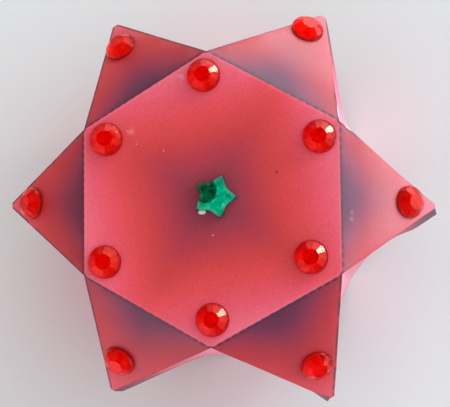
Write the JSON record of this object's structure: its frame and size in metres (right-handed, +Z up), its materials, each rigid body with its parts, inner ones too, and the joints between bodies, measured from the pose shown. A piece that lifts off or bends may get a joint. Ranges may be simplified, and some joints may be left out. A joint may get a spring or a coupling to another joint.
{
  "type": "faceted gift box",
  "caption": "Six-pointed gift box of folded printed card: a faceted lid set with round gems and a star gem lifts off a matching base.",
  "frame": {"origin": "middle of the hexagonal bottom face, on the surface the box stands on", "axes": "+Z up through the middle of the lid's face, +X through the middle of one point, +Y through a corner of the hexagonal face"},
  "size_m": [0.1322, 0.1158, 0.0614],
  "materials": {
    "base_card": "printed matt card",
    "lid_card": "printed matt card",
    "red_gem": "clear red acrylic, faceted",
    "green_gem": "clear green acrylic, faceted"
  },
  "bodies": {
    "base": {"base": "base_card"},
    "lid": {"lid": "lid_card", "corner_gem_1": "red_gem", "corner_gem_2": "red_gem", "corner_gem_3": "red_gem", "corner_gem_4": "red_gem", "corner_gem_5": "red_gem", "corner_gem_6": "red_gem", "point_gem_1": "red_gem", "point_gem_2": "red_gem", "point_gem_3": "red_gem", "point_gem_4": "red_gem", "point_gem_5": "red_gem", "point_gem_6": "red_gem", "star_gem": "green_gem"}
  },
  "joints": [
    {"name": "lid_lift", "type": "slide", "parent": "base", "child": "lid", "axis": [0, 0, 1], "range_m": [0, 0.06]}
  ]
}
